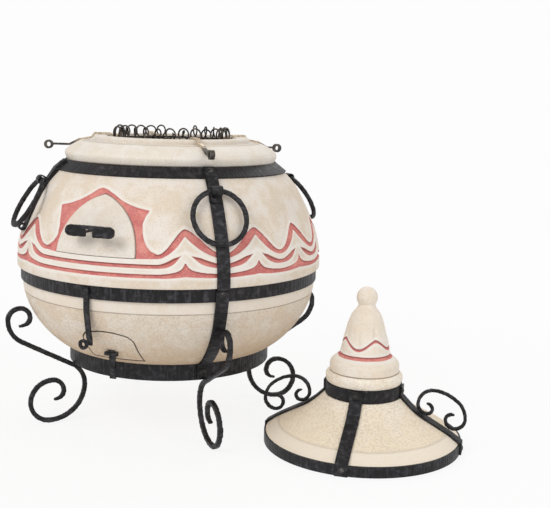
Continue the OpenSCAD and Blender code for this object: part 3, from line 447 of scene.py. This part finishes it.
def fired_clay(name, pale, sandy, warm, low_z, high_z, centre=(0, 0), lines=(), painted=False,
               peel=None, seam=False):
    """Unglazed fired clay, smoothed by hand: matt, with sand grains, slips of paler clay and
    a warmer, sandier tone towards low_z. lines are incised rings as (height, width, how dark the
    painted shade in them is); peel is the height of a line and the side of it, 1 above or -1 below,
    where the skin was left rough, like orange peel, with painted shade in its hollows; the other side
    is smoother and paler."""
    def build(tree):
        spot, _, high = round_places(tree, centre)
        cloud = mottle(tree, spot, 60, 5.0, 0.65)
        slip = mottle(tree, spot, 22, 3.0, 0.55)
        # sand of about 1 mm, drawn at 3 mm so that it shows in the picture
        grain = mottle(tree, spot, 3, 2.0, 0.6)
        fleck = add(tree, "TexVoronoi", links={0: spot}, in2=1 / 9).outputs[0]
        colour = blended(tree, eased(tree, cloud, 0.38, 0.6), pale, sandy)
        fall = eased(tree, figured(tree, "MULTIPLY_ADD", cloud, 60, high), low_z + 30, high_z + 30, 1, 0)
        colour = blended(tree, fall, colour, warm)
        colour = blended(tree, eased(tree, slip, 0.5, 0.75, 0, 0.3), colour, "#efe8dc")
        colour = blended(tree, eased(tree, grain, 0.52, 0.72, 0, 0.28), colour, "#b49a7c")
        colour = blended(tree, eased(tree, grain, 0.46, 0.3, 0, 0.22), colour, "#f3ece0")
        colour = blended(tree, eased(tree, fleck, 0.1, 0.04, 0, 0.14), colour, "#8c745c")
        bumps = figured(tree, "MULTIPLY_ADD", slip, 1.3, figured(tree, "MULTIPLY", grain, 0.5))
        if peel:
            line_z, rough_side = peel
            lumps = mottle(tree, spot, 4.5, 1.5, 0.5)
            rough_part = eased(tree, figured(tree, "MULTIPLY", high, rough_side),
                               line_z * rough_side - 1, line_z * rough_side + 2)
            # painted shade in the hollows of the rough skin
            pits = figured(tree, "MULTIPLY", eased(tree, lumps, 0.5, 0.36), rough_part)
            colour = blended(tree, figured(tree, "MULTIPLY", pits, 0.14), colour, "#a98a66")
            colour = blended(tree, figured(tree, "MULTIPLY_ADD", rough_part, -0.5, 0.5), colour, "#e6ddd2")
            bumps = figured(tree, "MULTIPLY_ADD", pits, -2.2, bumps)
        # painted shade in each incised ring, as dark as its third number; the bump cuts the ring in as well
        for ring_z, width, shade in lines:
            wave = figured(tree, "MULTIPLY_ADD", cloud, 3, high)
            off = figured(tree, "ABSOLUTE", figured(tree, "SUBTRACT", wave, ring_z + 1.5))
            cut = eased(tree, off, width * 0.3, width, 1, 0)
            colour = blended(tree, figured(tree, "MULTIPLY", cut, shade), colour, "#8b7864")
            bumps = figured(tree, "MULTIPLY_ADD", cut, -2.0, bumps)
        if seam:
            # painted shade in the narrow gap round the plug, with some smoke stain in it
            joint = add(tree, "Attribute", attribute_name="seam_gap").outputs[2]
            colour = blended(tree, eased(tree, joint, 2.6, 0.8, 0, 0.85), colour, "#46352a")
        if painted:
            gap = add(tree, "Attribute", attribute_name="groove_gap").outputs[2]
            lip = add(tree, "Attribute", attribute_name="lip_depth").outputs[2]
            ragged = figured(tree, "MULTIPLY_ADD", slip, 2.0, figured(tree, "ADD", gap, -1.5))
            # the clay beside a groove is drawn paler than the field
            colour = blended(tree, eased(tree, gap, 11, 3, 0, 0.72), colour, "#ebe6de")
            wash = blended(tree, eased(tree, cloud, 0.35, 0.65), "#c9726b", "#d98d83")
            wash = blended(tree, eased(tree, slip, 0.38, 0.6, 0, 0.55), wash, "#bb6163")
            wash = blended(tree, eased(tree, grain, 0.5, 0.66, 0, 0.4), wash, "#e3ada1")
            colour = blended(tree, eased(tree, ragged, 0.8, -0.6), colour, wash)
            # painted shade under the upper lip, with the darker paint that lies there
            dark = figured(tree, "MULTIPLY", eased(tree, lip, 3.6, 1.4, 0, 0.7),
                           eased(tree, gap, 1.6, 0.2))
            colour = blended(tree, dark, colour, "#7f4238")
        return surface(tree, colour, eased(tree, grain, 0.3, 0.7, 0.84, 0.97), bumps, 0.55)
    return finish(name, build, 0.9)


def forged_iron(name, ridges, dark="#201f21", light="#4a484c", centre=(0, 0), round_body=False):
    """Iron forged by hammer and blackened in oil: nearly black, with painted highlights on the
    ridges of the hammer marks, painted shade between them, and satin highlights. ridges is the spacing of
    its marks in mm."""
    def build(tree):
        spot, turn, high = round_places(tree, centre)
        if round_body:
            # hammered across the hoop: marks run up and down and follow each other round it
            run = figured(tree, "MULTIPLY", turn, 370 / ridges)
            flat = add(tree, "CombineXYZ", links={0: run, 1: figured(tree, "MULTIPLY", high, 0.12 / ridges)})
        else:
            # hammered across the bar: marks follow each other down it
            flat = add(tree, "VectorMath", operation="MULTIPLY", links={0: spot},
                       in1=(0.3 / ridges, 0.3 / ridges, 1 / ridges))
        marks = mottle(tree, flat.outputs[0], 1.0, 2.0, 0.5)
        scale = mottle(tree, spot, 14, 4.0, 0.6)
        pits = mottle(tree, spot, 2.5, 2.0, 0.6)
        colour = blended(tree, eased(tree, scale, 0.45, 0.75), dark, light)
        # painted highlight on the ridges of the hammer marks, and painted shade in the hollows between them
        colour = blended(tree, eased(tree, marks, 0.54, 0.74, 0, 0.42), colour, "#565458")
        colour = blended(tree, eased(tree, marks, 0.48, 0.32, 0, 0.5), colour, "#121113")
        colour = blended(tree, eased(tree, pits, 0.62, 0.76, 0, 0.22), colour, "#54463d")
        height = figured(tree, "MULTIPLY_ADD", marks, 3.0, figured(tree, "MULTIPLY", pits, 0.3))
        return surface(tree, colour, eased(tree, scale, 0.3, 0.7, 0.4, 0.62), height, 0.8)
    return finish(name, build, 0.5, metallic=0.55)


def drawn_wire(name, metallic, tan=None):
    """Steel wire drawn bright and then darkened by fire: patches of dark and of greyish brown
    scale with soot over them. tan is the colour of a rod where it crosses the mouth's rim."""
    def build(tree):
        spot = round_places(tree, (0, 0))[0]
        heat = mottle(tree, spot, 18, 3.0, 0.6)
        soot = mottle(tree, spot, 4, 2.0, 0.6)
        colour = blended(tree, eased(tree, heat, 0.35, 0.65), "#2b2827", "#5d554d")
        colour = blended(tree, eased(tree, soot, 0.52, 0.7, 0, 0.5), colour, "#191716")
        if tan:
            # the rod is drawn tan, mottled with grey-brown, where it crosses the mouth's rim
            flat = add(tree, "VectorMath", operation="MULTIPLY", links={0: spot}, in1=(1, 1, 0)).outputs[0]
            away = add(tree, "VectorMath", operation="LENGTH", links={0: flat}).outputs["Value"]
            burnt = eased(tree, figured(tree, "MULTIPLY_ADD", heat, 26, away), 240, 262)
            rim_tan = blended(tree, eased(tree, soot, 0.4, 0.66), tan, "#a08a6e")
            colour = blended(tree, burnt, rim_tan, colour)
        return surface(tree, colour, eased(tree, soot, 0.3, 0.7, 0.35, 0.6), soot, 0.3, 0.4 * MM)
    return finish(name, build, 0.45, metallic=metallic)


belly_clay = fired_clay("cream clay, carved and slip painted", "#e3dad0", "#dbccb9", "#d9d0c4",
                        380, 400, painted=True)
plain_clay = fired_clay("cream clay, smoothed by hand", "#e3dcd3", "#ddd2c4", "#d9cbb9", 300, 380)
collar_clay = fired_clay("cream clay of the collar", "#e6dfd6", "#e1d7c9", "#d9cbb9", 300, 380,
                         lines=[(694, 1.6, 0.3)])
bowl_clay = fired_clay("sandy clay of the bowl", "#e2d8cb", "#ddccb7", "#cfae87", 120, 300,
                       lines=[(331, 1.8, 0.6)], peel=(331, -1), seam=True)
# painted light: the lid's clay is given paler colours to make up for the lid catching less of the lamps'
# light
lid_clay_painted_paler = fired_clay("cream clay of the lid", "#f6ede0", "#f0e3cf", "#eddcc1", -20, 190,
                      centre=(LID_X, LID_Y), lines=[(46, 2.0, 0.2)], peel=(46, 1))
cap_clay = fired_clay("cream clay of the cap, slip painted", "#ebe2d7", "#e5d8c6", "#e0d3c2",
                      0, 100, centre=(LID_X, LID_Y), lines=[(177, 2.4, 0.9)], painted=True)
hoop_iron = forged_iron("hoop iron, hammered across", 7, round_body=True)
lid_hoop_iron = forged_iron("lid hoop iron, hammered across", 7, centre=(LID_X, LID_Y), round_body=True)
bar_iron = forged_iron("bar iron, hammered all over", 7)
rivet_iron = forged_iron("rivet heads, rubbed grey", 4, dark="#2c2a2a", light="#77726e")
grate_iron = forged_iron("cast iron of the grate", 6, dark="#24211f", light="#4a3f38")
rack_wire = drawn_wire("fire-darkened steel wire", 0.7)
rod_steel = drawn_wire("heat-stained steel rod", 0.3, tan="#d8c8b2")

# ---- Clay ----

# Width of the step that the door's face covers, and a tool's reach through the wall, from the axis
DOOR_STEP = 8
DOOR_CUT, VENT_CUT = (150, 460), (200, 400)

# Upper belly: carved and painted skin, with the door's stepped opening through its wall
inner_wall = [(r - WALL, z) for r, z in belly_line[::-12]][1:]
upper_belly = turned("carved_belly", [
    (WAIST_R, SEAM_Z), (WAIST_R, BORDER_Z), (BELLY_R - 2, BORDER_Z), (BELLY_R - 0.6, BORDER_Z + 1),
    *resampled([(BELLY_R, BORDER_Z + 4), *belly_line], 2.3),
    (NECK_R, NECK_Z), (NECK_R, COLLAR_Z), (MOUTH_R, COLLAR_Z), (MOUTH_R, COLLAR_Z - 8),
    (SHOULDER_R - WALL - 16, SHOULDER_Z), *inner_wall, (WAIST_R - WALL, SEAM_Z)],
    960, carve=belly_carving)


def arch(shrink, lift=0.0):
    """Pointed arch of the door as [across, height]."""
    big = ((DOOR_W / 2) ** 2 + DOOR_H ** 2) / DOOR_W
    mid, r = big - DOOR_W / 2, big - shrink
    first, last = math.asin(shrink / r), math.acos(mid / r)
    side = [(r * math.cos(a) - mid, DOOR_Z + r * math.sin(a)) for a in np.linspace(first, last, 24)]
    whole = side + [(-x, z) for x, z in side[-2::-1]]
    return [(x, max(z, DOOR_Z + lift)) for x, z in whole]


carved(upper_belly, prism(arch(DOOR_STEP), DOOR_AZ, *DOOR_CUT), "DIFFERENCE")
ledge = prism(arch(0), DOOR_AZ, *DOOR_CUT)
carved(upper_belly, carved(ledge, block("ledge", lambda z: belly_radius(z) + 20, 40,
                                        (-60, 17), (440, 620), 8), "INTERSECT"), "DIFFERENCE")
az, z, rad = places(upper_belly)
groove_gap, lip_depth, _ = relief(az, z)
marked(upper_belly, "groove_gap", np.where(rad > belly_radius(z) - 6, groove_gap, 60))
marked(upper_belly, "lip_depth", lip_depth)

# the door hangs a little to the left in its opening, so the gap shows dark on its right
arch_door = carved(block("door_face", belly_radius, 19.4, (-50, 7), (450, 600)),
                   prism([(x - 0.9, z) for x, z in arch(DOOR_GAP, 1.6)], DOOR_AZ, *DOOR_CUT),
                   "INTERSECT")
door_back = carved(block("door_back", lambda z: belly_radius(z) - 19.5, 26, (-50, 7), (450, 600), 6),
                   prism(arch(DOOR_STEP + DOOR_GAP, 8.3), DOOR_AZ, *DOOR_CUT), "INTERSECT")

# Lower bowl: one thick shell with the ash space, the hearth's hole and the oven's floor
low_r = float(bowl_radius(VENT_Z)) - 40
lower_bowl = turned("bowl_shell", [
    (0, FOOT_Z), (FOOT_R - 3.8, FOOT_Z), (FOOT_R - 3.8, BASE_TOP_Z), *resampled(bowl_line, 4),
    (WAIST_R, WAIST_LOW_Z), (WAIST_R, SEAM_Z), (WAIST_R - WALL, SEAM_Z), (WAIST_R - WALL, SEAM_Z - 40),
    (float(bowl_radius(HEARTH_Z)) - WALL - 8, HEARTH_Z), (GRATE_R + 2, HEARTH_Z),
    (GRATE_R + 2, HEARTH_Z - 12), (GRATE_R - 14, HEARTH_Z - 12), (GRATE_R - 14, HEARTH_Z - HEARTH_T),
    (float(bowl_radius(HEARTH_Z - HEARTH_T)) - 46, HEARTH_Z - HEARTH_T), (low_r, VENT_Z + 4),
    (low_r - 10, VENT_Z - 10), (0, VENT_Z - 10)], 360)


def vent(shrink, lift):
    """Block with rounded upper corners and a slightly arched top as [across, height]."""
    big = ((VENT_W / 2) ** 2 + VENT_RISE ** 2) / (2 * VENT_RISE)
    b, top = VENT_W / 2 - shrink, VENT_Z + VENT_H - shrink
    roof = [(x, top + VENT_RISE - big + math.sqrt(big * big - x * x))
            for x in np.linspace(b - 12, 12 - b, 15)]
    return [(-b, VENT_Z + lift), (b, VENT_Z + lift), (b, top - 12), (b - 1.5, top - 6), (b - 5, top - 1.5),
            *roof, (5 - b, top - 1.5), (1.5 - b, top - 6), (-b, top - 12)]


carved(lower_bowl, prism(vent(0, 0), VENT_AZ, *VENT_CUT), "DIFFERENCE")
vent_plug = carved(block("plug_face", bowl_radius, 48, (-38, 0), (196, 290)),
                   prism(vent(DOOR_GAP + 0.6, 1.4), VENT_AZ, *VENT_CUT), "INTERSECT")

# distance to the joint between bowl and plug, for the painted shade and smoke stain in it
for piece in (lower_bowl, vent_plug):
    az, z, rad = places(piece)
    near = (np.abs(az - VENT_AZ) < 30) & (z > VENT_Z - 12) & (z < VENT_Z + 100)
    across = rad * np.sin(np.radians(az - VENT_AZ))
    gap = np.full(len(z), FAR)
    gap[near] = np.abs(from_outline(across[near], z[near], vent(1, 0.5)))
    marked(piece, "seam_gap", gap)

neck_collar = turned("rounded_collar", [
    (MOUTH_R, COLLAR_Z), (COLLAR_R - 4, COLLAR_Z),
    *rounded([(COLLAR_R - 2, COLLAR_Z + 4), (COLLAR_R, COLLAR_Z + 12), (COLLAR_R - 1, COLLAR_Z + 18),
              (COLLAR_R - 8, COLLAR_Z + 26), ((COLLAR_R + MOUTH_RING_R) / 2 + 2, COLLAR_Z + 40),
              (MOUTH_RING_R + 8, COLLAR_Z + COLLAR_H - 0.8)], 8),
    (MOUTH_RING_R, COLLAR_Z + COLLAR_H), (MOUTH_R, COLLAR_Z + COLLAR_H)], 240)
mouth_z = COLLAR_Z + COLLAR_H
mouth_ring = turned("mouth_rim", [
    (MOUTH_R, mouth_z), (MOUTH_RING_R - 1, mouth_z),
    *rounded([(MOUTH_RING_R, mouth_z + 5), (MOUTH_RING_R - 1, mouth_z + 8.5),
              (MOUTH_RING_R - 4, mouth_z + MOUTH_RING_H)], 4),
    (MOUTH_R + 4, mouth_z + MOUTH_RING_H), (MOUTH_R + 1, mouth_z + 10), (MOUTH_R, mouth_z + 8)], 240)

lid_line = rounded([(LID_R - (LID_R - LID_NECK_R - 6) * k,
                     LID_RIM_H + (LID_NECK_Z - 1 - LID_RIM_H) * h) for k, h in LID_CURVE], 8)
lid_dome = turned("lid_shell", [
    (LID_R - 28, 1), (LID_R, 1), *lid_line, (LID_NECK_R, LID_NECK_Z - 1), (LID_NECK_R, 152),
    (LID_NECK_R + 2, 152), *rounded([(LID_NECK_R + 4, 157), (LID_NECK_R + 5, 164),
                                     (LID_NECK_R + 4, 171), (LID_NECK_R - 2, LID_SEAM_Z)], 4),
    (LID_HOLE_R, LID_SEAM_Z), (LID_HOLE_R, LID_NECK_Z),
    *[(r - 19.6, z - 21) for r, z in lid_line[-9:4:-6]]], 300, (LID_X, LID_Y))

cap_h = BALL_Z - LID_SEAM_Z - BALL_R
cap_foot = LID_SEAM_Z + 0.3
cap_line = rounded([(LID_NECK_R + 2 - (LID_NECK_R - 8) * k, cap_foot + cap_h * h) for h, k in CAP_CURVE], 8)
ball_turn = np.radians(np.linspace(-48, 90, 16))
ball_line = [(max(0, BALL_R * math.cos(a)), BALL_Z + BALL_R * math.sin(a)) for a in ball_turn]
CAP_RING_Z, CAP_SWAG_Z, CAP_SWAG_RISE, CAP_PEAK_AZ = 218, 236, 22, 22
RING_HALF, SWAG_HALF, DRIP_DEPTH = 3.3, 2.7, 4


def cap_relief(az, z):
    """Distance to the painted ring or swag, depth under its upper lip, and the swag's height."""
    share = np.abs(((az - CAP_PEAK_AZ) / 90) % 1 - 0.5) * 2
    rise = CAP_SWAG_RISE * swag_rise(share)
    ring = np.abs(z - CAP_RING_Z) - RING_HALF
    swag = np.abs(z - CAP_SWAG_Z - rise) - SWAG_HALF
    lip = np.where(ring < 1, CAP_RING_Z + RING_HALF - z, CAP_SWAG_Z + rise + SWAG_HALF - z)
    return np.minimum(ring, swag), lip, CAP_SWAG_Z + rise


def cap_carving(az, z, rad):
    """Grooves under the cap's paint, and soft valleys that run up from the swags."""
    gap, _, swag = cap_relief(az, z)
    skin = (z > 200) & (z < 300) & (rad > 20)
    move = -1.5 * smooth_step((0.6 - gap) / 2)
    drip = np.abs(((az - CAP_PEAK_AZ) / 45) % 1 - 0.5) * 2
    fade = smooth_step((z - swag) / 8) * smooth_step((swag + 40 - z) / 30)
    move -= DRIP_DEPTH * np.exp(-((1 - drip) * 4) ** 2) * fade
    return np.where(skin, move + ripple(az, z, 5, 26, 1.1), 0)


lid_cap = turned("cap_shell", [
    (0, cap_foot - 22), (LID_HOLE_R - 1, cap_foot - 22), (LID_HOLE_R - 1, cap_foot),
    *resampled(cap_line, 2), *ball_line[1:]], 300, (LID_X, LID_Y), cap_carving)
az, z, _ = places(lid_cap, (LID_X, LID_Y))
cap_gap, cap_lip, _ = cap_relief(az, z)
marked(lid_cap, "groove_gap", cap_gap)
marked(lid_cap, "lip_depth", cap_lip)

# ---- Rack coil: one uneven spring wire wound round the hoop ----


def coil_path():
    """Tall turns that stand flat along the hoop and cross at their feet, each a little
    different; the rods pass between them, and they close in at both ends."""
    hand = np.random.default_rng(12)
    steps = 18
    n = round(CURLS * steps * (COIL_TO - COIL_FROM) / 360)
    turn = np.linspace(COIL_FROM, COIL_TO, n + 1)
    knots = np.linspace(COIL_FROM, COIL_TO, 40)
    size = np.interp(turn, knots, hand.uniform(0.9, 1.06, 40))
    shift = np.interp(turn, knots, hand.uniform(-22, 22, 40))
    spread = np.interp(turn, knots, hand.uniform(14, 19, 40))
    points = []
    for i, (a, tall, late, wide) in enumerate(zip(turn, size, shift, spread)):
        phase = math.radians(CURLS * (a - CAGE_AZ) - 90 + late)
        free = min(1, min(i, n - i) / 12)
        high = COIL_END_R + (CURL_R * tall - COIL_END_R) * free
        deep = COIL_END_R + (CURL_HALF - COIL_END_R) * free
        middle = RACK_Z + (CURL_Z - RACK_Z + (tall - 1) * 6) * free
        out = out_dir(a + math.degrees(wide / RACK_R) * math.cos(phase) * free)
        spot = out * (RACK_R + deep * math.cos(phase)) + Vector((0, 0, middle + high * math.sin(phase)))
        points.append(spot[:])
    return points


rack_coil = tube("rack_coil", coil_path(), WIRE_R, 8)

# ---- Beaten bars: each solid's own form, with soft edges and hammer flats ----


def beaten(node, step=2.2, depth=1.2):
    """Copy of a bar with flats beaten into it, nowhere outside the bar's own skin."""
    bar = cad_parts[node].data
    piece = make("beaten_" + node, [v.co[:] for v in bar.vertices], [p.vertices[:] for p in bar.polygons])
    modifier = piece.modifiers.new("skin", "REMESH")
    modifier.mode = "VOXEL"
    modifier.voxel_size = step * MM
    settle(piece)
    for v in piece.data.vertices:
        spot = v.co / MM
        beat = noise.noise(spot / 7) + 0.7 * noise.noise(spot / 3.5) - 0.9
        v.co += v.normal * min(0, beat) * depth * 0.5 * MM
    return tidy(piece, 60)


# the bars that show hammered edges, and the bodies that carry them
BARS = {"leg_front": "stove", "leg_right": "stove", "leg_rear": "stove", "leg_left": "stove",
        "ring_front": "ring_front", "ring_right": "ring_right", "ring_rear": "ring_rear",
        "ring_left": "ring_left", "door_grip": "arch_door",
        "lid_scroll_right": "lid", "lid_scroll_left": "lid"}
beaten_bars = [(beaten(node), body, node) for node, body in BARS.items()]
# the open middle of the door handle's grip, as [across, height]
GRIP_NOTCH = [(-5, 490), (17, 490), (17, 518), (-5, 518)]
for bar, body, node in beaten_bars:
    if node == "door_grip":
        carved(bar, prism(GRIP_NOTCH, DOOR_AZ, 372, 420), "DIFFERENCE")

# ---- Bodies, finishes ----

for piece, body, slot, material, nodes in (
        (upper_belly, "stove", "clay_pale", belly_clay, ["upper_belly"]),
        (lower_bowl, "stove", "clay_sand", bowl_clay, ["lower_bowl"]),
        (neck_collar, "stove", "clay_pale", collar_clay, ["neck_collar"]),
        (mouth_ring, "stove", "clay_pale", plain_clay, ["mouth_ring"]),
        (arch_door, "arch_door", "clay_pale", plain_clay, ["arch_door"]),
        (door_back, "arch_door", "clay_pale", plain_clay, []),
        (vent_plug, "vent_plug", "clay_sand", bowl_clay, ["vent_plug"]),
        (lid_dome, "lid", "clay_pale", lid_clay_painted_paler, ["lid_dome"]),
        (lid_cap, "lid_cap", "clay_pale", cap_clay, ["lid_cap"]),
        (rack_coil, "rack", "rack_wire", rack_wire, ["rack_spring"]),
        *[(bar, body, "forged_iron", bar_iron, [node]) for bar, body, node in beaten_bars]):
    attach(piece, body)
    piece.data.materials.clear()
    piece.data.materials.append(material)
    if nodes:
        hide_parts(*nodes)

for name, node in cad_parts.items():
    material = bar_iron
    if name in ("base_hoop", "waist_hoop", "shoulder_hoop"):
        material = hoop_iron
    elif name in ("lid_rim_hoop", "lid_neck_hoop"):
        material = lid_hoop_iron
    elif "rivet" in name:
        material = rivet_iron
    elif name == "fire_grate":
        material = grate_iron
    elif name.startswith("rack_rod"):
        material = rod_steel
    elif name.startswith("rack"):
        material = rack_wire
    for place in node.material_slots:
        place.material = material

# ---- Camera, floor and light ----

EYE_PLACE, FOCAL_MM = (265.2, -2456.1, 810), 63.95
LOOK_DOWN, TILT = math.radians(9.108), math.radians(1.5575)
PAPER_WHITE = 0.982
LAMP_AIM = Vector((0.1, -0.05, 0.4))

eye = bpy.data.cameras.new("camera")
eye.sensor_width = 36
eye.lens = FOCAL_MM
eye.clip_end = 50
camera = bpy.data.objects.new("camera", eye)
bpy.context.scene.collection.objects.link(camera)
aim = Vector((0, math.cos(LOOK_DOWN), -math.sin(LOOK_DOWN)))
right = Vector((math.cos(TILT), math.sin(TILT) * math.sin(LOOK_DOWN), math.sin(TILT) * math.cos(LOOK_DOWN)))
top = right.cross(aim)
camera.matrix_world = Matrix.Translation(Vector(EYE_PLACE) * MM) @ Matrix(
    (right, top, -aim)).transposed().to_4x4()
bpy.context.scene.camera = camera

FLOOR_HALF, FLOOR_Z = 9, -0.0008
ground = make("floor", [(x * FLOOR_HALF, y * FLOOR_HALF, FLOOR_Z)
                        for x, y in ((-1, -1), (1, -1), (1, 1), (-1, 1))], [[0, 1, 2, 3]])


def paper(tree):
    """White paper floor: it takes the object's shadow, and the camera sees it nearly white."""
    seen = add(tree, "LightPath").outputs
    direct = figured(tree, "MAXIMUM", seen["Is Camera Ray"], seen["Is Glossy Ray"])
    # far from the oven the paper runs into the white of the backdrop
    away = add(tree, "VectorMath", operation="LENGTH", links={0: add(tree, "TexCoord").outputs["Object"]})
    share = eased(tree, away.outputs["Value"], 0.7, 1.8, 0.88, 1)
    matt = add(tree, "BsdfDiffuse", in0=(0.92, 0.92, 0.92, 1))
    glow = add(tree, "Emission", in0=(1, 1, 1, 1), in1=PAPER_WHITE)
    return add(tree, "MixShader", links={0: figured(tree, "MULTIPLY", direct, share),
                                         1: matt.outputs[0], 2: glow.outputs[0]}).outputs[0]


floor_paper = bpy.data.materials.new("white paper")
floor_paper.use_nodes = True
floor_paper.node_tree.nodes.clear()
sheet_out = add(floor_paper.node_tree, "OutputMaterial")
floor_paper.node_tree.links.new(paper(floor_paper.node_tree), sheet_out.inputs[0])
ground.data.materials.append(floor_paper)

world = bpy.data.worlds.new("studio")
bpy.context.scene.world = world
world.use_nodes = True
tree = world.node_tree
tree.nodes.clear()
seen = add(tree, "LightPath").outputs
direct = figured(tree, "MAXIMUM", seen["Is Camera Ray"], seen["Is Transmission Ray"])
room = add(tree, "Background", in0=(1.0, 0.995, 0.985, 1), in1=0.62)
card = add(tree, "Background", in0=(1, 1, 1, 1), in1=PAPER_WHITE)
both = add(tree, "MixShader", links={0: direct, 1: room.outputs[0], 2: card.outputs[0]})
add(tree, "OutputWorld", links={0: both.outputs[0]})

for name, spot, size, power in (("key", (-1.7, -2.3, 2.6), 1.6, 48),
                                ("fill", (2.2, -1.6, 1.6), 2.0, 16),
                                ("back", (0.6, 2.2, 2.4), 1.8, 24)):
    lamp = bpy.data.lights.new(name, "AREA")
    lamp.size = size
    lamp.energy = power
    holder = bpy.data.objects.new(name, lamp)
    holder.location = spot
    holder.rotation_euler = (LAMP_AIM - Vector(spot)).to_track_quat("-Z", "Y").to_euler()
    bpy.context.scene.collection.objects.link(holder)

bpy.context.scene.view_settings.view_transform = "Standard"
